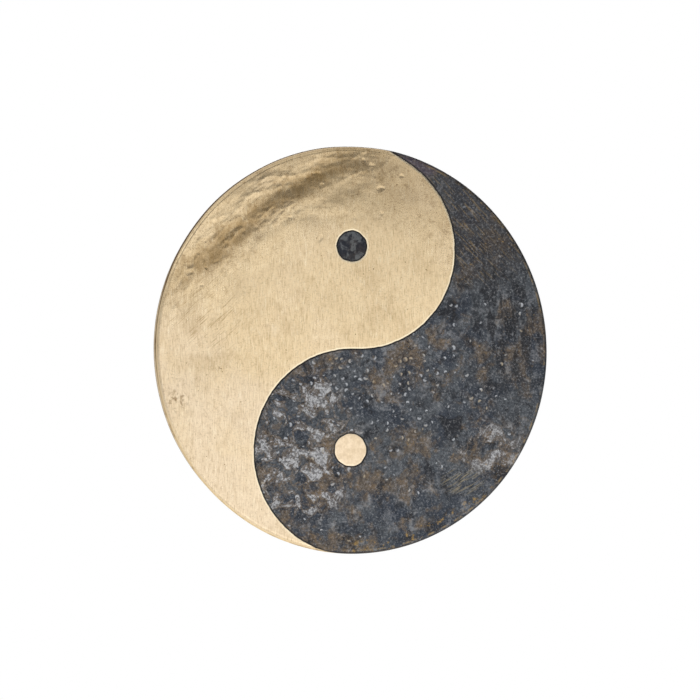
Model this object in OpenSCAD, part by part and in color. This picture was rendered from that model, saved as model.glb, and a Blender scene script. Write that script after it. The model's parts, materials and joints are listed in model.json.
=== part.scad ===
// Tam-tam gong, hung upright: the disc's axis runs along Y, the struck face looks along -Y and
// the rim is turned back towards +Y. The origin is the middle of the whole gong.

/* [Gong] */
// Diameter over the rim
disc_d = 400; // [320:5:600]
// Thickness of the hammered bronze
wall = 1.5; // [1.2:0.1:2]
// Depth from the struck face to the back edge of the rim
depth = 24; // [20:1:40]
// Outer radius of the shoulder between the face and the rim
shoulder_r = 4; // [4:0.5:9]
// Angle by which the rim leans in towards the disc's axis
rim_lean = 12; // [0:1:20]

/* [Suspension holes] */
// Diameter of each hole in the rim
hole_d = 6; // [4:0.5:7]
// Distance between the two holes
hole_span = 84; // [60:2:120]
// Distance from the middle of a hole to the rim's back edge, along the rim
hole_edge = 8.5; // [6:0.5:9]

/* [Black scale] */
// Thickness of the scale that is left on the bronze
scale_t = 0.3; // [0.25:0.05:0.4]
// Angle round the shoulder at which the polish of the bright field ends
polish_end = 40; // [20:5:60]

/* [Pattern, as shares of the disc's radius] */
// Height at which the bright lobe and the dark lobe meet
meet_z = 0.005; // [-0.02:0.005:0.02]
// Sideways place of the bright lobe's centre
bright_lobe_x = 0.0275; // [0:0.0025:0.04]
// Radius of the bright lobe
bright_lobe_r = 0.4925; // [0.48:0.0025:0.5]
// Sideways place of the dark lobe's centre
dark_lobe_x = -0.005; // [-0.01:0.0025:0.01]
// Radius of the dark lobe
dark_lobe_r = 0.505; // [0.5:0.0025:0.51]
// Angle on the bright lobe from which its edge runs straight to the disc's edge
tail_angle = 58; // [50:1:62]
// Radius of the dark dot
dark_dot_r = 0.0778; // [0.05:0.0002:0.1]
// Sideways place of the dark dot's centre
dark_dot_x = -0.0075; // [-0.05:0.0005:0.05]
// Height of the dark dot's centre
dark_dot_z = 0.507; // [0.4:0.0005:0.6]
// Radius of the bright dot
bright_dot_r = 0.0794; // [0.05:0.0002:0.1]
// Sideways place of the bright dot's centre
bright_dot_x = -0.0145; // [-0.05:0.0005:0.05]
// Height of the bright dot's centre
bright_dot_z = -0.492; // [-0.6:0.0005:-0.4]

/* [Hidden] */
$fn = 96;

bronze = [0.83, 0.69, 0.46];
black_scale = [0.14, 0.15, 0.17];
brown_scale = [0.27, 0.21, 0.15];

disc_r = disc_d / 2;
// Longer than anything it has to cut through
reach = disc_d;
// Share of the radius by which the dark side overlaps the lobe above it, so that they fuse
lobe_step = 0.0001;
front = depth / 2 - scale_t;
back = -depth / 2;
shoulder_at = [disc_r - scale_t - shoulder_r, front - shoulder_r];
rim_len = (shoulder_at[1] - shoulder_r * sin(rim_lean) - back) / cos(rim_lean);
hole_down = rim_len - hole_edge;
hole_r_at = shoulder_at[0] + (shoulder_r - wall / 2) * cos(rim_lean) - hole_down * sin(rim_lean);
hole_z_at = shoulder_at[1] - (shoulder_r - wall / 2) * sin(rim_lean) - hole_down * cos(rim_lean);
hole_turn = asin(hole_span / 2 / hole_r_at);

bright_lobe_at = [bright_lobe_x, meet_z + bright_lobe_r];
dark_lobe_at = [dark_lobe_x, meet_z - dark_lobe_r];
dark_dot_at = [dark_dot_x, dark_dot_z];
bright_dot_at = [bright_dot_x, bright_dot_z];
// The straight end of the bright lobe's edge: where it starts, and which way is outwards there
tail_out = [cos(tail_angle), sin(tail_angle)];
tail_from = bright_lobe_at + bright_lobe_r * tail_out;
// A share of the radius that is well outside the disc
beyond = 2;

// Turns the drawing plane upright, with its +Z towards the player
module upright() {
    rotate([90, 0, 0]) children();
}

// Half section of everything inside a surface that lies a given distance out from the shoulder's middle
module filled_section(out) {
    wall_top = shoulder_at + out * [cos(rim_lean), -sin(rim_lean)];
    polygon([
        [0, back],
        [wall_top[0] - (wall_top[1] - back) * tan(rim_lean), back],
        wall_top,
        shoulder_at,
        shoulder_at + [0, out],
        [0, shoulder_at[1] + out]
    ]);
    translate(shoulder_at) circle(r = out);
}

// Half section of a skin of the gong between two such surfaces
module skin_section(inner, outer) {
    difference() {
        filled_section(outer);
        filled_section(inner);
    }
}

// The part of the half section that lies past the polished edge, on the rim's side
module rim_side() {
    polygon([
        shoulder_at,
        shoulder_at + reach * [sin(polish_end), cos(polish_end)],
        shoulder_at + [reach, 0],
        shoulder_at + [reach, -reach],
        shoulder_at + [-reach, -reach]
    ]);
}

// Both suspension holes, square to the rim's wall
module hole_drills() {
    for (side = [-1, 1])
        rotate(90 - side * hole_turn) translate([hole_r_at, 0, hole_z_at])
            rotate([0, 90 + rim_lean, 0]) cylinder(d = hole_d, h = 10 * wall, center = true);
}

// A straight post through the face, on a circle given as shares of the disc's radius
module post(at, r) {
    translate([at[0] * disc_r, at[1] * disc_r, 0]) cylinder(r = r * disc_r, h = depth);
}

// Everything in front of and behind the dark half of the pattern
module dark_side() {
    difference() {
        union() {
            post(dark_lobe_at, dark_lobe_r);
            linear_extrude(depth) scale(disc_r) polygon([
                [dark_lobe_at[0], -beyond],
                [dark_lobe_at[0], meet_z - lobe_step],
                [bright_lobe_at[0], meet_z - lobe_step],
                [bright_lobe_at[0], beyond],
                [beyond, beyond],
                [beyond, -beyond]
            ]);
        }
        post(bright_lobe_at, bright_lobe_r);
        linear_extrude(depth) scale(disc_r) polygon([
            bright_lobe_at,
            tail_from,
            tail_from + [-tail_out[1], tail_out[0]],
            [-beyond, beyond]
        ]);
        post(bright_dot_at, bright_dot_r);
    }
}

// One forging: the face, the shoulder and the turned-back rim with its two holes
module gong_plate() {
    color(bronze) upright() difference() {
        rotate_extrude() skin_section(shoulder_r - wall, shoulder_r);
        hole_drills();
    }
}

// Black scale left on the dark half of the face and on its side of the shoulder
module dark_field() {
    color(black_scale) upright() intersection() {
        rotate_extrude() difference() {
            skin_section(shoulder_r, shoulder_r + scale_t);
            rim_side();
        }
        dark_side();
    }
}

// Black scale left as a dot in the bright half
module dark_dot() {
    color(black_scale) upright() translate(concat(disc_r * dark_dot_at, front))
        cylinder(r = dark_dot_r * disc_r, h = scale_t);
}

// Brown scale on the outside of the shoulder and the rim
module rim_scale() {
    color(brown_scale) upright() difference() {
        rotate_extrude() intersection() {
            skin_section(shoulder_r, shoulder_r + scale_t);
            rim_side();
        }
        hole_drills();
    }
}

// Dark scale on the back of the face and the inside of the rim
module back_scale() {
    color(black_scale) upright() difference() {
        rotate_extrude() skin_section(shoulder_r - wall - scale_t, shoulder_r - wall);
        hole_drills();
    }
}

gong_plate();
dark_field();
dark_dot();
rim_scale();
back_scale();
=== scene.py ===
"""Looks for a hammered tam-tam with a polished half and a half left in black scale.

Lengths are in millimetres until a mesh is made, and the drawing plane is the gong's skin rolled out
flat: a point's distance from the middle is its distance along the skin, across the face, round the
shoulder and down the rim.
"""
import json
import math

import bpy
import numpy as np
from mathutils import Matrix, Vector
from mathutils.geometry import delaunay_2d_cdt


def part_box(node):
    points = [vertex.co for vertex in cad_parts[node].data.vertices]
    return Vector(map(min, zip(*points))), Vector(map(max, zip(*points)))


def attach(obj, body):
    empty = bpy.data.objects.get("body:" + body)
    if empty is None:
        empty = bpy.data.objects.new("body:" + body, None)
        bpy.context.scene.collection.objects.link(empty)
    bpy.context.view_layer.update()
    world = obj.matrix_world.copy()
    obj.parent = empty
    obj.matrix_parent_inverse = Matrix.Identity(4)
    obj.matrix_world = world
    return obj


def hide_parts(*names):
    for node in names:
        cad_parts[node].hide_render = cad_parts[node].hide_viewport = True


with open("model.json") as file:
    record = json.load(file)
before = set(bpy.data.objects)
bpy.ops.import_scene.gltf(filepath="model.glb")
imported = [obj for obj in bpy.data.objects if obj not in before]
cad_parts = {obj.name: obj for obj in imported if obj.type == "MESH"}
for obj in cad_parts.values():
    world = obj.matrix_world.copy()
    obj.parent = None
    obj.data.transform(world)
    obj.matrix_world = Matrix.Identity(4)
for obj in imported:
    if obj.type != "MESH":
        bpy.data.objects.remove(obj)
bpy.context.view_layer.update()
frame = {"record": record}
MM = 0.001

# ---------------------------------------------------------------- sizes
# The boxes and the holes come from the frame. The wall, the shoulder, the rim's lean and the end of
# the polish aren't in it, so they repeat the part's source.
plate_lo, plate_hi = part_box("gong_plate")
scale_lo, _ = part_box("dark_field")
PLATE_R = plate_hi[0] / MM
FRONT_Y = plate_lo[1] / MM
BACK_Y = plate_hi[1] / MM
SCALE_T = FRONT_Y - scale_lo[1] / MM
WALL = 1.5
SHOULDER_R = 4.0
RIM_LEAN = math.radians(12)
POLISH_END = math.radians(40)
FLAT_R = PLATE_R - SHOULDER_R
DISC_R = PLATE_R + SCALE_T
SHOULDER_TURN = math.pi / 2 + RIM_LEAN
RIM_LENGTH = (BACK_Y - FRONT_Y - SHOULDER_R * (1 + math.sin(RIM_LEAN))) / math.cos(RIM_LEAN)
RHO_POLISH = FLAT_R + SHOULDER_R * POLISH_END
RHO_RIM = FLAT_R + SHOULDER_R * SHOULDER_TURN
RHO_END = RHO_RIM + RIM_LENGTH
HOLES = [m for m in frame["record"]["mounts"] if m["kind"] == "bore"]

# ---------------------------------------------------------------- the pattern, in shares of the radius
# A lobe is x, z and radius. A dot has a fourth number, the seed of its hand-cut edge.
MEET_Z = 0.005 * DISC_R
BRIGHT_LOBE = (0.0275 * DISC_R, MEET_Z + 0.4925 * DISC_R, 0.4925 * DISC_R)
DARK_LOBE = (-0.005 * DISC_R, MEET_Z - 0.505 * DISC_R, 0.505 * DISC_R)
TAIL = math.radians(58)
TAIL_LENGTH = 70.0
DARK_DOT = (-0.0075 * DISC_R, 0.507 * DISC_R, 0.0778 * DISC_R, 3)
BRIGHT_DOT = (-0.0145 * DISC_R, -0.492 * DISC_R, 0.0794 * DISC_R, 4)
EDGE_WANDER = 0.09
DOT_WANDER = 0.11

# ---------------------------------------------------------------- how far apart the mesh points are
# PEENED is for the hammer marks of the dark half, BENT for the rim, BACK for the back's blows, and
# COARSE for surfaces that don't show. EDGE, RIM_EDGE and HOLE_EDGE are for outlines.
# ROWS are the distances of the rows of points that follow a cut edge, and CLEAR is how far the
# evenly spread points keep off it. TIGHT is the same for points that come close to an outline.
PEENED = 0.87
FINE = 1.0
BENT = 1.25
BACK = 1.7
COARSE = 5.0
EDGE = 1.4
RIM_EDGE = 1.2
HOLE_EDGE = 0.45
ROWS = (0.35, 0.8, 1.4)
TIGHT = 0.6
CLEAR = ROWS[-1] + TIGHT
ROW_CLEAR = 0.3
BOTH_SIDES = tuple(-k for k in ROWS) + (0.0,) + ROWS
# The bare metal's fine points end here, under the rim's scale.
FINE_END = RHO_POLISH + 3.5

# ---------------------------------------------------------------- the plate's relief
# The hammered band runs along the rim at BAND_R, either side of BAND_MIDDLE degrees. Noise that
# follows the rim takes a turn as ALONG_RIM millimetres a radian. That is less than the true arc,
# so it comes out as streaks.
CROWN = 0.85
CROWN_FROM = 120.0
BAND_R = 168.0
BAND_MIDDLE = 126.0
ALONG_RIM = 74.0
MARKS_WITHIN = 195.0
BLOW_PITCH = 11.0
BLOW_R = 6.5
BLOW_DEPTH = 0.22
GROOVE_DEPTH = 0.10
GROOVE_WIDTH = 1.3
SET_BACK = 0.22
# How deep a piece of scale reaches into the plate behind it, so that no gap shows.
SEAT = 0.14


def smooth(a, b, v):
    """0 below a, 1 above b, and an even S between them."""
    t = np.clip((v - a) / (b - a), 0, 1)
    return t * t * (3 - 2 * t)


def gradient_noise(x, z, size, seed):
    """Perlin noise, about -1 to 1, with features of the given size."""
    side = 256
    angle = np.random.default_rng(seed).uniform(0, 2 * np.pi, (side, side))
    gx, gz = np.cos(angle), np.sin(angle)
    u, v = x / size + 100.37, z / size + 100.71
    i, j = np.floor(u).astype(int), np.floor(v).astype(int)
    fu, fv = u - i, v - j

    def corner(di, dj):
        a, b = (i + di) % side, (j + dj) % side
        return gx[a, b] * (fu - di) + gz[a, b] * (fv - dj)

    su = fu**3 * (fu * (fu * 6 - 15) + 10)
    sv = fv**3 * (fv * (fv * 6 - 15) + 10)
    low = corner(0, 0) + su * (corner(1, 0) - corner(0, 0))
    high = corner(0, 1) + su * (corner(1, 1) - corner(0, 1))
    return 1.5 * (low + sv * (high - low))


def tremble(t, seed):
    """The fine wander of an edge that was cut by hand; t runs from 0 to 1 along it."""
    waves = np.random.default_rng(seed)
    out = np.zeros_like(t)
    for n in (7, 11, 17, 26, 41):
        out += np.sin(2 * np.pi * n * t + waves.uniform(0, 6.28)) * waves.uniform(0.5, 1)
    return EDGE_WANDER * out * smooth(0, 0.06, t)


def bright_radius(angle):
    """Radius of the bright lobe's hand-cut edge, from the middle of the gong up to the tail."""
    t = np.clip((angle + np.pi / 2) / (TAIL + np.pi / 2), 0, 1)
    return BRIGHT_LOBE[2] + 0.2 * np.sin(2 * np.pi * t) + tremble(t, 1)


def dark_radius(angle):
    """Radius of the dark lobe's hand-cut edge, from the middle of the gong down to the bottom."""
    t = np.clip(((angle - np.pi / 2) % (2 * np.pi)) / (0.95 * np.pi), 0, 1)
    return DARK_LOBE[2] - 0.9 * np.sin(np.pi * t) + 0.8 * t**3 + tremble(t, 2)


def dot_radius(angle, dot):
    """Radius of a dot's hand-cut edge."""
    _, _, radius, seed = dot
    waves = np.random.default_rng(seed)
    out = np.full_like(angle, radius)
    for n in (2, 3, 5, 7, 12):
        out += DOT_WANDER * np.cos(n * angle + waves.uniform(0, 6.28))
    return out


def outside_dot(x, z, dot):
    """Distance outwards from a dot's edge."""
    angle = np.arctan2(z - dot[1], x - dot[0])
    return np.hypot(x - dot[0], z - dot[1]) - dot_radius(angle, dot)


def halves(x, z):
    """Distance into the dark half from the edge between the two halves.

    Past the tail of the bright lobe the edge runs on straight to the rim.
    """
    bx, bz, _ = BRIGHT_LOBE
    dx, dz, _ = DARK_LOBE
    angle = np.arctan2(z - bz, x - bx)
    outside_bright = np.hypot(x - bx, z - bz) - bright_radius(angle)
    tail_r = bright_radius(np.array([TAIL]))[0]
    past_line = (x - bx) * math.cos(TAIL) + (z - bz) * math.sin(TAIL) - tail_r
    outside_bright = np.where((angle > TAIL) | (angle < -2.4), past_line, outside_bright)
    inside_dark = dark_radius(np.arctan2(z - dz, x - dx)) - np.hypot(x - dx, z - dz)
    return np.minimum(outside_bright, np.maximum(inside_dark, x - (bx + dx) / 2))


def pattern(x, z):
    """Distance into black scale; below zero it is the distance into bare metal."""
    d = np.minimum(halves(x, z), outside_dot(x, z, BRIGHT_DOT))
    return np.maximum(d, -outside_dot(x, z, DARK_DOT))


# ---------------------------------------------------------------- the hammered skin
def along_rim(x, z):
    """A place by its radius and by how far round the rim it is."""
    return np.hypot(x, z), np.arctan2(z, x) * ALONG_RIM


def upper_left(x, z):
    """How much a place lies in the strongly hammered zone along the upper left edge."""
    rho, angle = np.hypot(x, z), np.degrees(np.arctan2(z, x))
    turn = smooth(68, 102, angle) * (1 - smooth(160, 182, angle))
    return turn * smooth(100, 152, rho)


def from_band(x, z):
    """Distance outwards from the line along which the upper left was hammered hardest."""
    rho, round_rim = along_rim(x, z)
    bow = 26 * smooth(14, 40, np.abs(np.degrees(np.arctan2(z, x)) - BAND_MIDDLE))
    return rho - BAND_R - bow - 8 * gradient_noise(rho, round_rim, 34, 15)


def band_share(x, z):
    """1 along the line where the upper left was hammered hardest, falling off to 0 on both sides."""
    return upper_left(x, z) * np.exp(-(((from_band(x, z) + 3) / 19) ** 2))


def scatter(seed, tries, chance, gap, radii, depths):
    """Random round marks: place, radius and depth, as thick as chance makes them."""
    rng = np.random.default_rng(seed)
    x, z = rng.uniform(-MARKS_WITHIN, MARKS_WITHIN, (2, tries))
    ok = rng.uniform(0, 1, tries) < chance(x, z)
    shallow, deep = depths
    kept = []
    for a, b in zip(x[ok], z[ok]):
        if all((a - p) ** 2 + (b - q) ** 2 > gap**2 for p, q, _, _ in kept):
            radius = rng.uniform(*radii)
            kept.append((a, b, radius, shallow + (deep - shallow) * rng.uniform() ** 2))
    return kept


def peen_chance(x, z):
    """Hammer marks of the dark half, thickest near the middle."""
    lobe = np.exp(-(((x + 15) / 80) ** 2) - ((z + 60) / 65) ** 2)
    middle = np.exp(-(((x - 45) / 60) ** 2) - ((z + 28) / 34) ** 2)
    clear = (pattern(x, z) > 2.5) & (np.hypot(x, z) < 190)
    return clear * (0.22 * lobe + 0.28 * middle + 0.014)


def dent_chance(x, z):
    """Dents of the hammered zone on the polished side."""
    clear = (pattern(x, z) < -6) & (np.hypot(x, z) < 188)
    hard = np.exp(-((from_band(x, z) / 15) ** 2))
    return clear * (upper_left(x, z) * (0.03 + 0.16 * hard) + 0.002)


PEENS = scatter(21, tries=6500, chance=peen_chance, gap=5.2, radii=(1.7, 2.8), depths=(0.03, 0.20))
DENTS = scatter(22, tries=4000, chance=dent_chance, gap=6.0, radii=(1.8, 4.0), depths=(0.06, 0.28))
# The one broad blow at the top: x, z, radius and depth, as for the others.
FACET = (12.0, 206.0, 31.0, 0.38)


def each_mark(marks, x, z):
    """For every mark: the points near it, their place in it by its radius, and its depth."""
    for px, pz, r, depth in marks:
        near = np.flatnonzero((np.abs(x - px) < 2 * r) & (np.abs(z - pz) < 2 * r))
        yield near, (x[near] - px) / r, (z[near] - pz) / r, depth


def peen_marks(x, z):
    """Height of the hammer marks alone."""
    h = np.zeros_like(x)
    for near, u, v, depth in each_mark(PEENS, x, z):
        d = np.hypot(u, v)
        h[near] += depth * (0.25 * np.exp(-(((d - 1.15) / 0.30) ** 2)) - np.clip(1 - d * d, 0, None))
    return h


def peen_light_and_shade(x, z):
    """Painted light of the hammer marks: above zero where the scale is knocked off, brightest on the side
    that faces the light, and below zero in the painted shade round it.
    """
    h = np.zeros_like(x)
    for near, u, v, depth in each_mark(PEENS, x, z):
        d = np.hypot(u, v)
        facing = np.cos(np.arctan2(v, u) - 2.4 - 55 * depth)
        # Painted highlight: a crescent on the side of the mark that faces the light.
        crescent = np.exp(-(((d - 0.58) / 0.36) ** 2)) * np.clip(0.40 + facing, 0, None)
        # Painted shade: a dark ring round the mark.
        ring = np.exp(-(((d - 1.25) / 0.30) ** 2))
        h[near] += (0.35 + 4.5 * depth) * (0.95 * crescent - 0.35 * ring)
    return h


def swells(x, z):
    """The plate's slow unevenness, with the trough and the ridge that the hardest blows left."""
    u, v = along_rim(x, z)
    out = from_band(x, z)
    band = upper_left(x, z) * (0.80 + 0.40 * gradient_noise(u, v, 42, 16))
    h = 0.25 * gradient_noise(x, z, 80, 11)
    h = h - 0.50 * band * smooth(-18, 10, out) + 0.40 * band * smooth(4, 22, out)
    return h + 0.05 * gradient_noise(x, z, 31, 12) + 0.018 * gradient_noise(x, z, 15, 13)


def worked_metal(x, z):
    """The finer relief of the hammered zone: lumps, and creases between them."""
    zone = upper_left(x, z)
    u, v = along_rim(x, z)
    h = zone * (0.26 * gradient_noise(u, v, 27, 17) + 0.10 * gradient_noise(u, v, 13, 18))
    hard = 0.35 + np.exp(-((from_band(x, z) / 22) ** 2))
    worked = zone * hard * smooth(-0.5, 0.4, gradient_noise(u, v, 20, 22))
    h = h + worked * (0.13 * gradient_noise(u, v, 6.5, 19) + 0.07 * gradient_noise(u, v, 3.2, 20))
    return h + 0.13 * worked * np.clip(1 - np.abs(gradient_noise(u, v, 17, 25)) / 0.28, 0, None)


def dents(x, z):
    """Depth of the single dents, whose outlines wander, and of the one broad blow."""
    h = np.zeros_like(x)
    bent_x = x + 2.5 * gradient_noise(x, z, 8, 23)
    bent_z = z + 2.0 * gradient_noise(x, z, 8, 24)
    for near, du, dv, depth in each_mark(DENTS, bent_x, bent_z):
        h[near] += depth * np.clip(1 - du * du - dv * dv, 0, None) ** 1.3
    for near, du, dv, depth in each_mark([FACET], x, z):
        h[near] += depth * np.clip(1 - du * du - dv * dv, 0, None) ** 0.9
    return h


def undulation(x, z):
    """Height of the hammered plate over its smooth shape; the blows ran along the rim."""
    return swells(x, z) + worked_metal(x, z) - dents(x, z)


def hammered_back(x, z):
    """The rougher hammering that shows on the back, in rings of overlapping blows."""
    rho, angle = np.hypot(x, z), np.arctan2(z, x)
    ring = np.round(rho / BLOW_PITCH)
    count = np.maximum(np.round(2 * np.pi * ring), 1)
    phase = (angle / (2 * np.pi) * count + 0.37 * ring) % 1 - 0.5
    across = phase * 2 * np.pi * rho / count
    outward = rho - BLOW_PITCH * ring
    wobble = 3.0 * gradient_noise(x, z, 9, 31)
    d = np.hypot(across, outward) + wobble
    return -BLOW_DEPTH * np.clip(1 - (d / BLOW_R) ** 2, 0, None) * smooth(4, 12, rho)


def skin(x, z, out, height):
    """The skin's point at a place on the drawing plane.

    out is its distance from the smooth plate, and height gives the relief that is added to it.
    """
    rho = np.maximum(np.hypot(x, z), 1e-9)
    turn = np.clip((rho - FLAT_R) / SHOULDER_R, 0, SHOULDER_TURN)
    nr, ny = np.sin(turn), -np.cos(turn)
    lift = SHOULDER_R + out + height(x, z)
    fall = CROWN * smooth(CROWN_FROM, FLAT_R - 4, rho)
    radius = np.minimum(rho, FLAT_R) + lift * nr
    y = FRONT_Y + SHOULDER_R + lift * ny + fall
    down = np.clip((rho - RHO_RIM) / RIM_LENGTH, 0, 1) * (BACK_Y - y)
    radius = radius - down * math.tan(RIM_LEAN)
    return np.column_stack([radius * x / rho, y + down, radius * z / rho])


def skin_normals(x, z, out, height):
    """Which way the skin faces, from two neighbours of each place."""
    step = 0.3
    here = skin(x, z, out(x, z), height)
    along_x = skin(x + step, z, out(x + step, z), height) - here
    along_z = skin(x, z + step, out(x, z + step), height) - here
    n = np.cross(along_x, along_z)
    return n / np.linalg.norm(n, axis=1)[:, None]


# ---------------------------------------------------------------- points and lines on the drawing plane
def rings(step, from_r, to_r):
    """Evenly spread points on rings about the middle."""
    out = []
    count = max(int(round((to_r - from_r) / step)), 1)
    for k in range(count + 1):
        r = from_r + (to_r - from_r) * k / count
        n = max(int(round(2 * np.pi * r / step)), 1)
        a = (np.arange(n) + 0.5 * (k % 2)) * 2 * np.pi / n
        out.append(np.column_stack([r * np.cos(a), r * np.sin(a)]))
    return np.vstack(out)


def resample(points, step, closed=True):
    """The same line with its points evenly spaced."""
    p = np.vstack([points, points[:1]]) if closed else points
    length = np.concatenate([[0], np.cumsum(np.linalg.norm(np.diff(p, axis=0), axis=1))])
    n = max(int(round(length[-1] / step)), 3)
    at = np.linspace(0, length[-1], n + 1)
    out = np.column_stack([np.interp(at, length, p[:, i]) for i in (0, 1)])
    return out[:-1] if closed else out


def ring_line(r, step, start=0.0, end=2 * math.pi):
    """Points round the middle at one radius, anticlockwise; open unless it is a whole turn."""
    n = max(int(round(r * (end - start) / step)), 3)
    a = start + (end - start) * np.arange(n + 1) / n
    whole = end - start > 2 * math.pi - 1e-6
    a = a[:-1] if whole else a
    return np.column_stack([r * np.cos(a), r * np.sin(a)])


def dot_line(dot, step):
    """A dot's edge, anticlockwise."""
    a = np.linspace(0, 2 * np.pi, 361)[:-1]
    r = dot_radius(a, dot)
    return resample(np.column_stack([dot[0] + r * np.cos(a), dot[1] + r * np.sin(a)]), step)


def s_line(step, limit):
    """The edge between the halves, from the top of the disc to the bottom, out to a radius."""
    bx, bz, _ = BRIGHT_LOBE
    dx, dz, _ = DARK_LOBE
    a = np.linspace(TAIL, -np.pi / 2, 700)
    upper = np.column_stack([bx + bright_radius(a) * np.cos(a), bz + bright_radius(a) * np.sin(a)])
    tail = upper[0] + np.linspace(TAIL_LENGTH, 0.2, 100)[:, None] * [-math.sin(TAIL), math.cos(TAIL)]
    b = np.linspace(np.pi / 2, 1.5 * np.pi, 700)
    lower = np.column_stack([dx + dark_radius(b) * np.cos(b), dz + dark_radius(b) * np.sin(b)])
    line = np.vstack([tail, upper[upper[:, 0] > (bx + dx) / 2], lower[lower[:, 0] < (bx + dx) / 2]])
    line = resample(line, 0.1, closed=False)
    rho = np.hypot(line[:, 0], line[:, 1])
    within = np.flatnonzero(rho < limit)
    line = line[within[0] : within[-1] + 1]
    first = line[0] * limit / np.hypot(*line[0])
    last = line[-1] * limit / np.hypot(*line[-1])
    return resample(np.vstack([first, line[1:-1], last]), step, closed=False)


def hole_line(mount):
    """A suspension hole's edge on the drawing plane, seen square to the rim."""
    x, y, z = (v / MM for v in mount["pos_m"])
    r = mount["dims"]["r_mm"]
    angle = math.atan2(z, x)
    wall_top = BACK_Y - RIM_LENGTH * math.cos(RIM_LEAN)
    middle = RHO_RIM + (y - wall_top + WALL / 2 * math.sin(RIM_LEAN)) / math.cos(RIM_LEAN)
    a = np.linspace(0, 2 * np.pi, int(2 * np.pi * r / HOLE_EDGE) + 1)[:-1]
    rho = middle + r * np.sin(a)
    turn = angle - r * np.cos(a) / math.hypot(x, z)
    return np.column_stack([rho * np.cos(turn), rho * np.sin(turn)])


def beside(line, offsets, closed):
    """Rows of points that follow a line at several distances."""
    ahead = np.roll(line, -1, axis=0) - np.roll(line, 1, axis=0)
    if not closed:
        ahead[0], ahead[-1] = line[1] - line[0], line[-1] - line[-2]
    side = np.column_stack([-ahead[:, 1], ahead[:, 0]])
    side = side / np.linalg.norm(side, axis=1)[:, None]
    return np.vstack([line + k * side for k in offsets])


def turned(line, anticlockwise):
    """A closed line, made to run the given way round."""
    x, z = line[:, 0], line[:, 1]
    area = np.sum(x * np.roll(z, -1) - z * np.roll(x, -1))
    return line if (area > 0) == anticlockwise else line[::-1]


# ---------------------------------------------------------------- shells
def triangulate(loops, points):
    """Triangles between closed lines, the first of them outside and the others round holes.

    Every line's points come before the loose ones, in the order given.
    """
    flat = np.vstack(loops + [points])
    edges, start, owner = [], 0, np.full(len(flat), -1)
    for k, loop in enumerate(loops):
        n = len(loop)
        edges += [(start + i, start + (i + 1) % n) for i in range(n)]
        owner[start : start + n] = k
        start += n
    keep_inside, merge_within = 1, 1e-6
    corners = [Vector(p) for p in flat.tolist()]
    _, _, faces, origins, _, _ = delaunay_2d_cdt(corners, edges, [], keep_inside, merge_within)
    source = np.array([o[0] if o else -1 for o in origins])
    tris = source[np.array(faces)]
    own = owner[tris]
    hole = (own[:, 0] > 0) & (own[:, 0] == own[:, 1]) & (own[:, 0] == own[:, 2])
    tris = tris[~hole & (tris >= 0).all(axis=1)]
    a, b, c = flat[tris[:, 0]], flat[tris[:, 1]], flat[tris[:, 2]]
    area = (b[:, 0] - a[:, 0]) * (c[:, 1] - a[:, 1]) - (b[:, 1] - a[:, 1]) * (c[:, 0] - a[:, 0])
    tris[area < 0] = tris[area < 0][:, ::-1]
    return flat, tris


def edge_walls(loops, shift):
    """Faces that join each line on the front to the same line on the back."""
    walls, start = [], 0
    for loop in loops:
        i = start + np.arange(len(loop))
        j = np.roll(i, -1)
        walls += [np.column_stack([i, i + shift, j + shift]), np.column_stack([i, j + shift, j])]
        start += len(loop)
    return np.vstack(walls)


def flat_normals(verts, faces):
    """Which way each triangle faces."""
    a, b, c = verts[faces[:, 0]], verts[faces[:, 1]], verts[faces[:, 2]]
    n = np.cross(b - a, c - a)
    return n / np.maximum(np.linalg.norm(n, axis=1), 1e-12)[:, None]


def attribute(mesh, name, values):
    """A number for each point, for a material to read."""
    layer = mesh.attributes.new(name, "FLOAT", "POINT")
    layer.data.foreach_set("value", values.astype(np.float32))


def carry_numbers(mesh, x, z, heights):
    """What the materials need to know about each point."""
    attribute(mesh, "scale_in", np.clip(pattern(x, z), -40, 40))
    attribute(mesh, "along", np.hypot(x, z))
    attribute(mesh, "hollow", -heights)
    attribute(mesh, "peen", peen_light_and_shade(x, z))
    attribute(mesh, "band", band_share(x, z))


def surface(points, out, height):
    """One side of a shell: its points in space, and which way the skin faces at each."""
    x, z = points[:, 0], points[:, 1]
    return skin(x, z, out(x, z), height), skin_normals(x, z, out, height)


def shell(name, loops, front, back, front_out, back_out, front_height, back_height):
    """A closed skin between two heights over the drawing plane, with its edges walled.

    front and back are points to triangulate. The outs and heights are what skin() asks for.
    """
    loops = [turned(loop, k == 0) for k, loop in enumerate(loops)]
    fp, ft = triangulate(loops, front)
    bp, bt = triangulate(loops, back)
    front_verts, front_normals = surface(fp, front_out, front_height)
    back_verts, back_normals = surface(bp, back_out, back_height)
    verts = np.vstack([front_verts, back_verts])
    normals = np.vstack([front_normals, -back_normals])
    skins = np.vstack([ft, bt[:, ::-1] + len(fp)])
    walls = edge_walls(loops, len(fp))
    mesh = bpy.data.meshes.new(name)
    mesh.from_pydata((verts * MM).tolist(), [], np.vstack([skins, walls]).tolist())
    mesh.shade_smooth()
    x, z = np.vstack([fp, bp]).T
    heights = np.concatenate([front_height(*fp.T), back_height(*bp.T)])
    carry_numbers(mesh, x, z, heights)
    wall_normals = np.repeat(flat_normals(verts, walls), 3, axis=0)
    mesh.normals_split_custom_set(np.vstack([normals[skins.ravel()], wall_normals]).tolist())
    piece = bpy.data.objects.new(name, mesh)
    bpy.context.scene.collection.objects.link(piece)
    return piece


def fill(spacing, inside, guard, rows=(), from_r=0.0, to_r=RHO_END):
    """Points for a region: rings of them wherever they are clear of its edges, and the given rows."""
    spread = rings(spacing, from_r, to_r)
    kept = [spread[inside(spread[:, 0], spread[:, 1]) > guard]]
    for row in rows:
        kept.append(row[inside(row[:, 0], row[:, 1]) > ROW_CLEAR])
    return np.vstack(kept)


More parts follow.
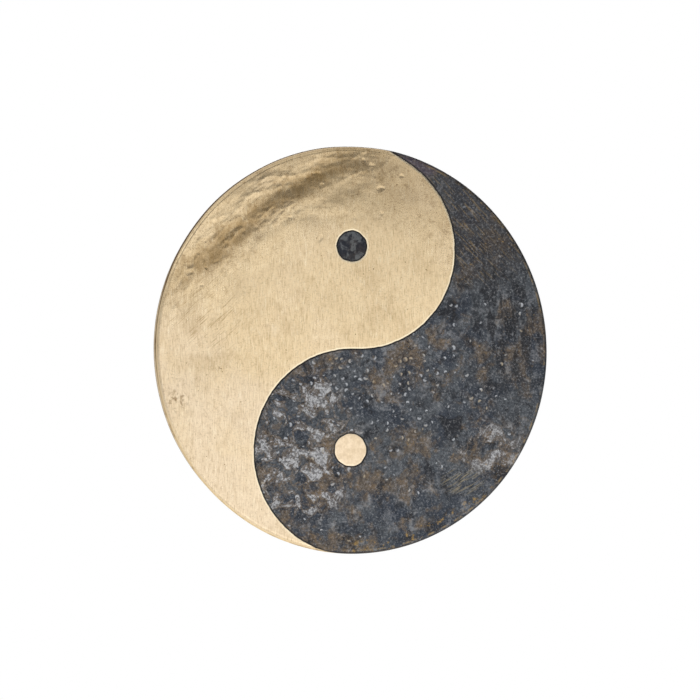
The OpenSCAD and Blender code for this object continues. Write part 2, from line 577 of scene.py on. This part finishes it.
def bend_fill(inside):
    """Points round the shoulder, where a long triangle would cut the corner."""
    return fill(FINE, inside, TIGHT, from_r=FLAT_R - 1, to_r=RHO_RIM + 1)


def hidden_fill(inside):
    """Sparse points for a surface that doesn't show, but close enough round the shoulder's bend."""
    face = fill(COARSE, inside, CLEAR, to_r=FLAT_R - 3)
    wall = fill(COARSE, inside, CLEAR, from_r=RHO_RIM + 4)
    return np.vstack([face, bend_fill(inside), wall])


# ---------------------------------------------------------------- the five pieces
HOLE_LINES = [hole_line(m) for m in HOLES]
HOLE_GUARD = 0.3


def from_holes(x, z):
    """Distance from the nearest suspension hole's edge, on the drawing plane."""
    out = np.full_like(x, 50.0)
    for mount, line in zip(HOLES, HOLE_LINES):
        cx, cz = line.mean(axis=0)
        out = np.minimum(out, np.hypot(x - cx, z - cz) - (mount["dims"]["r_mm"] + HOLE_GUARD))
    return out


def in_disc(x, z):
    """Distance inwards from the rim's edge and away from the holes."""
    return np.minimum(RHO_END - np.hypot(x, z), from_holes(x, z))


def level(height):
    """An out that is the same everywhere."""
    return lambda x, z: np.full_like(x, height)


def marked(x, z):
    """Relief of the dark half: the plate's own, and the hammer marks."""
    return undulation(x, z) + peen_marks(x, z)


def plate_front(x, z):
    """The bare plate: scraped down along the black scale, and set back under it."""
    d = pattern(x, z)
    groove = -GROOVE_DEPTH * (1 - smooth(0, GROOVE_WIDTH, -d))
    covered = np.maximum(smooth(0.2, 1.2, d), smooth(0.8, 1.8, np.hypot(x, z) - RHO_POLISH))
    return groove - SET_BACK * covered


def make_plate():
    s = s_line(FINE, RHO_POLISH + 1)
    dots = dot_line(DARK_DOT, FINE), dot_line(BRIGHT_DOT, FINE)
    rows = [beside(s, BOTH_SIDES, False)] + [beside(dot, BOTH_SIDES, True) for dot in dots]

    def bare(x, z):
        return np.minimum(-pattern(x, z), FINE_END - np.hypot(x, z))

    def covered(x, z):
        return np.minimum(in_disc(x, z), np.maximum(pattern(x, z), np.hypot(x, z) - FINE_END))

    def not_bare(x, z):
        return np.minimum(in_disc(x, z), CLEAR - bare(x, z))

    polished = fill(FINE, bare, CLEAR, rows)
    front = np.vstack([polished, fill(COARSE, covered, CLEAR), bend_fill(not_bare)])
    loops = [ring_line(RHO_END, EDGE)] + HOLE_LINES
    back = hidden_fill(in_disc)
    return shell("plate", loops, front, back, plate_front, level(-WALL), undulation, undulation)


def scale_top(distance):
    """Height of the scale's skin, rounded off towards its cut edge."""
    return SCALE_T * (0.3 + 0.7 * smooth(0, 1.1, distance))


def make_dark_field():
    s = s_line(FINE, RHO_POLISH)
    start, end = math.atan2(s[-1, 1], s[-1, 0]), math.atan2(s[0, 1], s[0, 0])
    outline = np.vstack([s, ring_line(RHO_POLISH, FINE, start, end)[1:-1]])
    dot = dot_line(BRIGHT_DOT, FINE)

    def cut(x, z):
        return np.minimum(halves(x, z), outside_dot(x, z, BRIGHT_DOT))

    def inside(x, z):
        return np.minimum(cut(x, z), RHO_POLISH - np.hypot(x, z))

    def near_arc(x, z):
        return np.minimum(inside(x, z), CLEAR - (RHO_POLISH - np.hypot(x, z)))

    def top(x, z):
        return scale_top(cut(x, z))

    rows = [beside(s, BOTH_SIDES, False), beside(dot, BOTH_SIDES, True)]
    front = np.vstack([fill(PEENED, inside, CLEAR, rows), fill(FINE, near_arc, TIGHT)])
    back = fill(COARSE, inside, CLEAR)
    return shell("field_skin", [outline, dot], front, back, top, level(-SEAT), marked, undulation)


def make_dark_dot():
    dot = dot_line(DARK_DOT, FINE)

    def inside(x, z):
        return -outside_dot(x, z, DARK_DOT)

    def top(x, z):
        return scale_top(inside(x, z))

    front = fill(FINE, inside, CLEAR, [beside(dot, BOTH_SIDES, True)])
    back = fill(COARSE, inside, CLEAR)
    return shell("dot_skin", [dot], front, back, top, level(-SEAT), undulation, undulation)


def make_rim_scale():
    loops = [ring_line(RHO_END, RIM_EDGE), ring_line(RHO_POLISH, FINE)] + HOLE_LINES

    def inside(x, z):
        return np.minimum(in_disc(x, z), np.hypot(x, z) - RHO_POLISH)

    def top(x, z):
        starts = smooth(0, 1.0, np.hypot(x, z) - RHO_POLISH)
        return SCALE_T * np.maximum(0.15 + 0.85 * starts, smooth(-0.3, 0.6, halves(x, z)))

    front = fill(BENT, inside, 0.5, from_r=RHO_POLISH)
    back = fill(COARSE, inside, 1.5, from_r=RHO_POLISH)
    return shell("rim_skin", loops, front, back, top, level(-SEAT), undulation, undulation)


def make_back_scale():
    loops = [ring_line(RHO_END, EDGE)] + HOLE_LINES

    def worked(x, z):
        on_face = 1 - smooth(FLAT_R - 8, FLAT_R, np.hypot(x, z))
        return undulation(x, z) + hammered_back(x, z) * on_face

    front = hidden_fill(in_disc)
    back = fill(BACK, in_disc, 0.8)
    front_out, back_out = level(SEAT - WALL), level(-WALL - SCALE_T)
    return shell("back_skin", loops, front, back, front_out, back_out, undulation, worked)


# ---------------------------------------------------------------- materials
def tone(r, g, b):
    """A colour given the usual 0 to 255 way, as linear light."""
    out = []
    for v in (r / 255, g / 255, b / 255):
        out.append(v / 12.92 if v < 0.04045 else ((v + 0.055) / 1.055) ** 2.4)
    return (*out, 1.0)


class Paint:
    """A material's nodes, with short names for the ones it is made of."""

    def __init__(self, name):
        self.material = bpy.data.materials.new(name)
        self.material.use_nodes = True
        self.tree = self.material.node_tree
        self.tree.nodes.clear()
        self.surface = self.add("ShaderNodeBsdfPrincipled")
        end = self.add("ShaderNodeOutputMaterial")
        self.tree.links.new(self.surface.outputs["BSDF"], end.inputs["Surface"])
        place = self.add("ShaderNodeTexCoord").outputs["Object"]
        self.at = self.stretch(place, (1 / MM, 1 / MM, 1 / MM))
        split = self.add("ShaderNodeSeparateXYZ")
        self.put(split.inputs[0], self.at)
        self.x, _, self.z = split.outputs

    def add(self, kind):
        return self.tree.nodes.new(kind)

    def put(self, socket, value):
        if isinstance(value, bpy.types.NodeSocket):
            self.tree.links.new(value, socket)
        else:
            socket.default_value = value

    def set(self, **values):
        for name, value in values.items():
            self.put(self.surface.inputs[name.replace("_", " ").title()], value)

    def stretch(self, vector, factors):
        node = self.add("ShaderNodeVectorMath")
        node.operation = "MULTIPLY"
        self.put(node.inputs[0], vector)
        self.put(node.inputs[1], factors)
        return node.outputs[0]

    def turn(self, vector, degrees):
        """The place turned about the gong's axis."""
        node = self.add("ShaderNodeVectorRotate")
        node.rotation_type = "Y_AXIS"
        self.put(node.inputs["Vector"], vector)
        self.put(node.inputs["Angle"], math.radians(degrees))
        return node.outputs[0]

    def noise(self, size, vector=None, detail=3.0, rough=0.55, warp=0.0, shift=0.0):
        """Noise with features of the given size in millimetres."""
        node = self.add("ShaderNodeTexNoise")
        node.noise_dimensions = "4D"
        self.put(node.inputs["Vector"], vector or self.at)
        self.put(node.inputs["W"], shift)
        self.put(node.inputs["Scale"], 1 / size)
        self.put(node.inputs["Detail"], detail)
        self.put(node.inputs["Roughness"], rough)
        self.put(node.inputs["Distortion"], warp)
        return node.outputs["Fac"]

    def own(self, name):
        """A number that the mesh carries."""
        node = self.add("ShaderNodeAttribute")
        node.attribute_name = name
        return node.outputs["Fac"]

    def step(self, value, low, high, a=0.0, b=1.0):
        """a below low, b above high, and smooth between them; low may be above high."""
        node = self.add("ShaderNodeMapRange")
        node.interpolation_type = "SMOOTHSTEP"
        if low > high:
            low, high, a, b = high, low, b, a
        for socket, v in zip(node.inputs[:5], (value, low, high, a, b)):
            self.put(socket, v)
        return node.outputs[0]

    def maths(self, how, a, b):
        node = self.add("ShaderNodeMath")
        node.operation = how
        self.put(node.inputs[0], a)
        self.put(node.inputs[1], b)
        return node.outputs[0]

    def times(self, *values):
        out = values[0]
        for v in values[1:]:
            out = self.maths("MULTIPLY", out, v)
        return out

    def plus(self, *values):
        out = values[0]
        for v in values[1:]:
            out = self.maths("ADD", out, v)
        return out

    def most(self, a, b):
        return self.maths("MAXIMUM", a, b)

    def near(self, cx, cz, size_x, size_z=None):
        """1 at a place on the face, falling off to 0 at the edge of an ellipse round it."""
        moved = self.add("ShaderNodeVectorMath")
        moved.operation = "SUBTRACT"
        self.put(moved.inputs[0], self.at)
        self.put(moved.inputs[1], (cx, 0.0, cz))
        sized = self.stretch(moved.outputs[0], (1 / size_x, 0.0, 1 / (size_z or size_x)))
        length = self.add("ShaderNodeVectorMath")
        length.operation = "LENGTH"
        self.put(length.inputs[0], sized)
        return self.step(length.outputs["Value"], 1.0, 0.25)

    def mix(self, amount, a, b):
        node = self.add("ShaderNodeMix")
        node.data_type = "RGBA"
        node.clamp_factor = True
        for index, value in ((0, amount), (6, a), (7, b)):
            self.put(node.inputs[index], value)
        return node.outputs[2]

    def bump(self, height, distance):
        """Fine relief, in millimetres; it is too small for the mesh to carry."""
        node = self.add("ShaderNodeBump")
        self.put(node.inputs["Height"], height)
        self.put(node.inputs["Distance"], distance * MM)
        return node.outputs[0]


def strokes(p, width, length, degrees, shift, detail=2.0):
    """Noise drawn out along a direction, as a brush or a scraper leaves it."""
    turned_place = p.turn(p.at, degrees)
    drawn = p.stretch(turned_place, (1.0, 0.0, width / length))
    return p.noise(width, drawn, detail=detail, rough=0.6, shift=shift)


PALE, WARM, SHINE = tone(234, 213, 182), tone(235, 211, 171), tone(252, 240, 212)
OLIVE, BROWN = tone(152, 123, 78), tone(120, 90, 50)


def bronze_ground(p, clouds):
    """Painted shade: pale below and warm above, darkening to olive towards the top."""
    rise = p.step(p.plus(p.z, p.times(p.x, 0.3)), -110, 20)
    color = p.mix(p.plus(p.step(clouds, 0.35, 0.65, -0.2, 0.5), rise), PALE, WARM)
    # Painted shade: olive rising towards the top.
    height = p.step(p.plus(p.z, p.times(p.x, 0.1)), 70, 200)
    color = p.mix(p.times(height, 0.20), color, OLIVE)
    # Painted shade: olive patches along the top.
    patches = p.step(p.noise(24, detail=5, rough=0.6, warp=0.5, shift=16), 0.38, 0.62)
    crown = p.times(p.step(p.z, 125, 165), patches)
    return p.mix(p.times(crown, 0.16), color, OLIVE)


def bronze_shade_and_stains(p, color, zone, along):
    """Painted shade: the olive band in the hammered hollows and along the hardest-hammered line; and stains
    that are densest near it.
    """
    # Painted shade: olive where the relief is hollow and along the band, broken up by noise.
    shade_noise = p.noise(13, detail=7, rough=0.74, warp=0.5, shift=2)
    ragged = p.plus(p.times(p.own("hollow"), 0.20), p.times(p.own("band"), 0.34), shade_noise)
    ragged = p.plus(ragged, p.step(along, 172, 188, 0, -0.10))
    color = p.mix(p.times(zone, p.step(ragged, 0.50, 1.02), 0.80), color, OLIVE)
    soft = p.noise(34, detail=5, rough=0.6, warp=0.3, shift=18)
    color = p.mix(p.step(soft, 0.50, 0.66, 0, 0.16), color, OLIVE)
    blots = p.noise(8, detail=5, rough=0.65, warp=0.3, shift=13)
    return p.mix(p.times(p.plus(p.times(zone, 0.30), 0.13), p.step(blots, 0.50, 0.70)), color, BROWN)


def bronze_brushing(p, color, zone, fine, weave):
    """Upright strokes, fainter ones across them, and dust; the hammered zone is brushed less."""
    broad = strokes(p, 7, 50, -2, shift=4, detail=4)
    brushed = p.plus(1.0, p.times(zone, -0.55))
    color = p.mix(p.times(brushed, p.step(fine, 0.50, 0.70, 0, 0.38)), color, OLIVE)
    color = p.mix(p.step(weave, 0.52, 0.70, 0, 0.26), color, OLIVE)
    color = p.mix(p.step(broad, 0.52, 0.72, 0, 0.10), color, OLIVE)
    color = p.mix(p.times(brushed, p.step(fine, 0.48, 0.3, 0, 0.5)), color, SHINE)
    dust = p.noise(1.3, detail=2, rough=0.6, shift=15)
    return p.mix(p.times(p.step(dust, 0.52, 0.70), p.plus(0.25, p.times(zone, 0.2))), color, BROWN)


def bronze_wear(p, color):
    """Slanting scratches at the left, a patch of dirt at the rim, and a few brown pits."""
    lower = p.near(-150, -50, 75, 110)
    slanting = strokes(p, 1.0, 16, 38, shift=5)
    color = p.mix(p.times(lower, p.step(slanting, 0.58, 0.72, 0, 0.35)), color, OLIVE)
    rising = strokes(p, 1.3, 18, -48, shift=6)
    left = p.near(-150, 35, 60)
    color = p.mix(p.times(left, p.step(rising, 0.54, 0.72, 0, 0.65)), color, OLIVE)
    dirt = p.step(p.noise(4, detail=5, shift=12), 0.50, 0.66, 0, 0.6)
    color = p.mix(p.times(p.near(-178, -52, 16, 20), dirt), color, BROWN)
    pits = p.noise(3.0, detail=1, shift=7)
    few = p.step(p.noise(35, detail=2, shift=8), 0.44, 0.58)
    return p.mix(p.times(p.step(pits, 0.72, 0.78), few, 0.9), color, BROWN)


def bronze_edges(p, color):
    """A pale line along the black scale, partly a scraped edge and partly a painted highlight, and the
    paler bright dot.
    """
    # Painted highlight along the scraped edge of the black scale.
    line = p.times(p.step(p.own("scale_in"), -1.8, -1.1), p.step(p.noise(22, shift=10), 0.32, 0.45, 0.3, 1))
    color = p.mix(p.times(line, 0.65), color, tone(252, 238, 208))
    dot = p.step(p.near(BRIGHT_DOT[0], BRIGHT_DOT[1], 24), 0.0, 0.2)
    rubbed = p.step(p.noise(5, detail=5, rough=0.7, shift=17), 0.36, 0.64)
    worn = p.mix(rubbed, tone(222, 198, 164), tone(246, 225, 196))
    return p.mix(p.times(dot, 0.75), color, worn)


def bronze_material():
    """Scraped and brushed metal: pale at the lower left, with painted shade in olive towards the top and in
    the hammered zone, which is stained too.
    """
    p = Paint("bronze")
    along = p.own("along")
    zone = p.times(p.step(along, 105, 150), p.step(p.z, 20, 90))
    clouds = p.noise(60, detail=4, shift=1)
    fine = strokes(p, 0.7, 9, 2, shift=3, detail=3)
    weave = strokes(p, 0.7, 6, 91, shift=14, detail=3)
    color = bronze_ground(p, clouds)
    color = bronze_shade_and_stains(p, color, zone, along)
    color = bronze_brushing(p, color, zone, fine, weave)
    color = bronze_wear(p, color)
    color = bronze_edges(p, color)
    rough = p.plus(p.step(clouds, 0.3, 0.7, 0.29, 0.35), p.step(fine, 0.3, 0.7, -0.03, 0.03))
    rough = p.plus(rough, p.times(zone, -0.08))
    speckle = p.noise(1.5, detail=4, shift=11)
    grain = p.plus(p.times(fine, 0.5), p.times(weave, 0.3), p.times(speckle, 0.6))
    p.set(base_color=color, metallic=1.0, roughness=rough, normal=p.bump(grain, 0.04))
    return p.material


NIGHT, SLATE, BLUE = tone(17, 19, 26), tone(75, 80, 86), tone(46, 54, 66)
UMBER, RUST, GOLD = tone(97, 85, 72), tone(124, 104, 80), tone(172, 142, 92)
SILVER, ASH = tone(198, 199, 202), tone(84, 86, 90)


def scale_ground(p, earth, mottle):
    """Slate and blue clouds with umber and rust in them, and pools of soot."""
    clouds = p.noise(44, detail=5, rough=0.6, warp=0.7, shift=21)
    color = p.mix(p.step(clouds, 0.42, 0.58), SLATE, BLUE)
    color = p.mix(p.step(earth, 0.48, 0.60, 0, 0.9), color, UMBER)
    pools = p.noise(24, detail=5, rough=0.6, warp=0.7, shift=35)
    color = p.mix(p.step(pools, 0.46, 0.36, 0, 0.85), color, NIGHT)
    color = p.mix(p.step(mottle, 0.50, 0.36, 0, 0.75), color, NIGHT)
    rusty = p.times(p.step(earth, 0.44, 0.6), p.step(p.noise(6, detail=5, rough=0.7, shift=24), 0.48, 0.64))
    return p.mix(p.times(rusty, 0.8), color, RUST)


def scale_bloom(p, color):
    """Grey bloom, thick on the dark lobe and thin at the right, with a rusty fringe."""
    right = p.times(p.near(140, -94, 52, 44), 0.27)
    bloom = p.step(p.most(p.near(-56, -95, 74, 92), right), 0.0, 0.35)
    wisps = p.noise(17, detail=6, rough=0.66, warp=1.0, shift=25)
    color = p.mix(p.times(p.step(wisps, 0.47, 0.51), bloom, 0.45), color, RUST)
    froth = p.mix(p.step(p.noise(1.9, detail=2, rough=0.6, shift=37), 0.42, 0.58), ASH, SILVER)
    color = p.mix(p.times(p.step(wisps, 0.515, 0.575), bloom, 0.80), color, froth)
    return p.mix(p.step(wisps, 0.52, 0.70, 0, 0.30), color, SILVER)


def scale_regions(p, color, mottle, high):
    """Brown rays at the upper right, a purple tip, and soot drawn upright at the right."""
    ray = strokes(p, 2.0, 26, 44, shift=26, detail=4)
    color = p.mix(p.times(high, p.step(mottle, 0.40, 0.60, 0.25, 0.75)), color, tone(52, 48, 48))
    color = p.mix(p.times(high, p.step(ray, 0.52, 0.64, 0, 0.6)), color, tone(140, 118, 82))
    tip = p.step(p.near(64, 183, 34, 18), 0.0, 0.6, 0, 0.6)
    color = p.mix(tip, color, tone(70, 64, 86))
    upright = strokes(p, 7, 30, 6, shift=27, detail=5)
    right = p.near(160, 30, 66, 120)
    return p.mix(p.times(right, p.step(upright, 0.44, 0.58, 0.15, 0.9)), color, NIGHT)


def scale_specks(p, color, flecks):
    """Silver and black specks, gold flecks, and file marks at the lower right."""
    specks = p.noise(2.2, detail=5, rough=0.85, shift=33)
    color = p.mix(p.step(specks, 0.51, 0.66, 0, 0.38), color, SILVER)
    color = p.mix(p.step(specks, 0.49, 0.36, 0, 0.80), color, NIGHT)
    color = p.mix(p.times(flecks, 0.7), color, GOLD)
    filing = p.step(strokes(p, 1.3, 20, -58, shift=36), 0.50, 0.60)
    filed = p.times(p.near(113, -128, 30, 18), filing)
    return p.mix(p.times(filed, 0.8), color, tone(150, 138, 112))


def scale_marks(p, color, peen, struck_and_highlit):
    """Painted shade round the hammer marks, the dark dot's own clouds, and bare metal with a painted
    highlight where scale is gone.
    """
    # Painted shade: dark rings round the hammer marks.
    color = p.mix(p.step(peen, -0.05, -0.40, 0, 0.6), color, NIGHT)
    spot = p.step(p.near(DARK_DOT[0], DARK_DOT[1], 24), 0.0, 0.2)
    cloudy = p.step(p.noise(10, detail=4, rough=0.6, warp=0.6, shift=38), 0.46, 0.56)
    color = p.mix(p.times(spot, 0.85), color, p.mix(cloudy, tone(17, 20, 32), tone(92, 95, 97)))
    golden = p.step(p.noise(30, detail=1, shift=30), 0.48, 0.62)
    glint = p.mix(golden, tone(186, 189, 194), tone(176, 163, 142))
    # Painted highlight on one side of each mark, over the bare metal where the scale is knocked off.
    return p.mix(p.times(struck_and_highlit, 0.75), color, glint)


def scale_edges(p, color):
    """The dark cut edge, the shoulder's worn line, and a golden patch at the bottom."""
    along = p.own("along")
    color = p.mix(p.times(p.step(p.own("scale_in"), 2.0, 1.0), 0.9), color, tone(16, 15, 16))
    worn = p.times(p.step(along, FLAT_R - 0.4, FLAT_R + 0.6), p.step(along, FLAT_R + 2.2, FLAT_R + 1.4))
    broken = p.step(p.noise(9, detail=5, rough=0.75, shift=31), 0.46, 0.60)
    color = p.mix(p.times(worn, p.step(p.x, -60, 80), broken, 0.55), color, tone(164, 140, 98))
    ragged = p.step(p.noise(7, detail=6, rough=0.7, shift=34), 0.54, 0.64)
    patch = p.times(p.step(along, 183, 191), p.step(p.z, -110, -160), p.step(p.x, -20, 10), ragged)
    return p.mix(p.times(patch, 0.8), color, tone(172, 138, 72))


def black_material():
    """Heat scale: slate, soot and brown, with grey bloom, and hammer marks that carry a painted highlight
    and painted shade.
    """
    p = Paint("black_scale")
    earth = p.noise(30, detail=5, rough=0.62, warp=0.5, shift=23)
    mottle = p.noise(12, detail=6, rough=0.72, warp=0.5, shift=22)
    high = p.step(p.near(125, 130, 84), 0.0, 0.5)
    flecks = p.step(p.noise(2.9, detail=4, rough=0.65, shift=28), 0.62, 0.70)
    peen = p.own("peen")
    # Bare metal and painted highlight of the hammer marks, fainter at the upper right.
    struck_and_highlit = p.times(p.step(peen, 0.16, 0.60), p.plus(1.0, p.times(high, -0.6)))
    color = scale_ground(p, earth, mottle)
    color = scale_bloom(p, color)
    color = scale_regions(p, color, mottle, high)
    color = scale_specks(p, color, p.times(flecks, p.step(earth, 0.44, 0.6)))
    color = scale_marks(p, color, peen, struck_and_highlit)
    color = scale_edges(p, color)
    bare = p.most(p.times(flecks, 0.7), struck_and_highlit)
    grain = p.plus(p.times(mottle, 1.5), p.times(p.noise(1.6, detail=3, shift=32), 0.5))
    p.set(base_color=color, metallic=p.plus(0.45, p.times(bare, 0.5)))
    p.set(roughness=p.step(mottle, 0.3, 0.7, 0.34, 0.50), normal=p.bump(grain, 0.10))
    return p.material


# How far round the shoulder the dark line of painted shade along the rim starts.
SHADE_LINE_FROM = math.radians(58)


def rim_material():
    """Brown scale, worn to a tan on the polished side and black on the other, with painted shade: darker
    towards the top, and a dark line round the shoulder.
    """
    p = Paint("brown_scale")
    edge, along = p.own("scale_in"), p.own("along")
    blotch = p.noise(16, detail=5, rough=0.65, shift=41)
    tan, umber = tone(240, 212, 166), tone(150, 116, 72)
    color = p.mix(p.step(blotch, 0.46, 0.74), tan, umber)
    # Painted shade: darker towards the top.
    color = p.mix(p.step(p.z, 30, 110, 0, 0.9), color, tone(116, 86, 48))
    color = p.mix(p.step(along, RHO_RIM + 2, RHO_RIM + 9, 0, 0.4), color, tone(72, 56, 44))
    # Painted shade: a dark line round the shoulder, strongest at the top and upper left.
    start = FLAT_R + SHOULDER_R * SHADE_LINE_FROM
    line = p.times(p.step(along, start - 0.3, start + 0.3), p.step(along, start + 1.7, start + 1.1))
    color = p.mix(p.times(line, p.step(p.z, -70, 10, 0.12, 0.7)), color, tone(98, 72, 42))
    color = p.mix(p.step(along, start + 0.1, start - 0.5), color, tone(238, 214, 174))
    soot = p.mix(p.step(blotch, 0.40, 0.64), tone(25, 24, 28), tone(66, 58, 52))
    color = p.mix(p.step(edge, -1.0, 1.0), color, soot)
    fine = strokes(p, 1.2, 14, 0, shift=42)
    color = p.mix(p.step(fine, 0.6, 0.75, 0, 0.3), color, tone(40, 32, 26))
    p.set(base_color=color, metallic=0.45, roughness=p.step(blotch, 0.3, 0.7, 0.38, 0.55))
    p.set(normal=p.bump(blotch, 0.2))
    return p.material


def back_material():
    """The untouched back: dark, sooty, with brown and grey where the blows fell."""
    p = Paint("back_scale")
    clouds = p.noise(55, detail=5, rough=0.6, warp=0.4, shift=51)
    mottle = p.noise(7, detail=5, rough=0.7, shift=52)
    color = p.mix(p.step(clouds, 0.36, 0.64), tone(40, 40, 46), tone(62, 50, 42))
    color = p.mix(p.step(mottle, 0.5, 0.72, 0, 0.7), color, tone(88, 82, 80))
    blow = p.times(p.step(p.own("hollow"), 0.02, 0.20), p.step(p.noise(4, detail=3, shift=54), 0.35, 0.6))
    color = p.mix(p.times(blow, 0.3), color, tone(112, 104, 98))
    color = p.mix(p.step(p.noise(18, detail=4, shift=53), 0.56, 0.7, 0, 0.6), color, tone(108, 76, 50))
    p.set(base_color=color, metallic=0.5, roughness=p.step(mottle, 0.3, 0.7, 0.45, 0.68))
    p.set(normal=p.bump(mottle, 0.16))
    return p.material


# ---------------------------------------------------------------- floor, light and camera
FLOOR_Z = -1.2


def aim(obj, at):
    """Turns a lamp or the camera towards a place."""
    obj.rotation_euler = (Vector(at) - obj.location).to_track_quat("-Z", "Y").to_euler()


def softbox(name, place, at, size, watts):
    """A rectangular lamp that the camera doesn't see itself."""
    data = bpy.data.lights.new(name, "AREA")
    data.shape = "RECTANGLE"
    data.size, data.size_y = size
    data.energy = watts
    lamp = bpy.data.objects.new(name, data)
    lamp.location = place
    lamp.visible_camera = False
    bpy.context.scene.collection.objects.link(lamp)
    aim(lamp, at)


def white_room():
    """White to the camera; to the metal a grey room, bright behind the gong and dark overhead."""
    world = bpy.data.worlds.new("room")
    bpy.context.scene.world = world
    world.use_nodes = True
    nodes, links = world.node_tree.nodes, world.node_tree.links
    nodes.clear()
    split = nodes.new("ShaderNodeSeparateXYZ")
    links.new(nodes.new("ShaderNodeTexCoord").outputs["Generated"], split.inputs[0])

    def shade(source, ends):
        node = nodes.new("ShaderNodeMapRange")
        links.new(source, node.inputs["Value"])
        for name, v in zip(("From Min", "From Max", "To Min", "To Max"), ends):
            node.inputs[name].default_value = v
        return node.outputs[0]

    both = nodes.new("ShaderNodeMath")
    both.operation = "MULTIPLY"
    links.new(shade(split.outputs[1], (-0.1, 0.7, 0.26, 0.95)), both.inputs[0])
    links.new(shade(split.outputs[2], (-0.3, 0.6, 1.15, 0.45)), both.inputs[1])
    room, seen = nodes.new("ShaderNodeBackground"), nodes.new("ShaderNodeBackground")
    links.new(both.outputs[0], room.inputs["Strength"])
    seen.inputs["Color"].default_value = (1, 1, 1, 1)
    blend = nodes.new("ShaderNodeMixShader")
    links.new(nodes.new("ShaderNodeLightPath").outputs["Is Camera Ray"], blend.inputs[0])
    links.new(room.outputs[0], blend.inputs[1])
    links.new(seen.outputs[0], blend.inputs[2])
    links.new(blend.outputs[0], nodes.new("ShaderNodeOutputWorld").inputs["Surface"])


def pale_floor():
    """A floor well below the gong; only the views from higher up show it."""
    p = Paint("floor")
    p.set(base_color=p.mix(p.noise(900), tone(238, 238, 236), tone(246, 246, 244)), roughness=0.7)
    bpy.ops.mesh.primitive_circle_add(vertices=64, radius=4, fill_type="NGON", location=(0, 0, FLOOR_Z))
    floor = bpy.context.object
    floor.name = "floor"
    floor.data.materials.append(p.material)


def set_camera():
    """A long lens, so that the face shows hardly any perspective."""
    azimuth, elevation = math.radians(-16.2), math.radians(-2.2)
    lens, sensor, view_width = 400, 36, 0.6867
    away = view_width * lens / sensor
    data = bpy.data.cameras.new("camera")
    data.lens, data.sensor_width = lens, sensor
    data.clip_end = 100
    camera = bpy.data.objects.new("camera", data)
    level_away = away * math.cos(elevation)
    camera.location.x = level_away * math.sin(azimuth)
    camera.location.y = -level_away * math.cos(azimuth)
    camera.location.z = away * math.sin(elevation)
    bpy.context.scene.collection.objects.link(camera)
    aim(camera, (0, 0, 0))
    bpy.context.scene.camera = camera


def light_scene():
    white_room()
    softbox("key", (0.60, -1.25, -0.32), (0.10, 0, -0.02), (1.7, 1.26), 6.8)
    softbox("left_fill", (-0.9, -1.1, 0.0), (0, 0, 0), (2.0, 1.9), 5.3)
    softbox("upper_fill", (-0.3, -1.25, 1.20), (0, 0, 0), (2.6, 1.3), 7.6)
    softbox("back_fill", (0.6, 1.6, 0.9), (0, 0, 0), (1.4, 1.0), 14)
    softbox("top_fill", (0.0, -0.1, 1.8), (0, 0, 0), (2.4, 1.6), 7)
    softbox("floor_light", (0, 0, -0.7), (0, 0.001, FLOOR_Z), (8, 8), 125)
    bpy.context.scene.view_settings.view_transform = "Standard"


def dress(piece, node, material):
    """Gives a piece its material, hides the CAD node it stands for, and hangs the piece on the root body.
    """
    piece.data.materials.append(material)
    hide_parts(node)
    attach(piece, "root")


def main():
    bronze, black = bronze_material(), black_material()
    dress(make_plate(), "gong_plate", bronze)
    dress(make_dark_field(), "dark_field", black)
    dress(make_dark_dot(), "dark_dot", black)
    dress(make_rim_scale(), "rim_scale", rim_material())
    dress(make_back_scale(), "back_scale", back_material())
    pale_floor()
    light_scene()
    set_camera()


main()
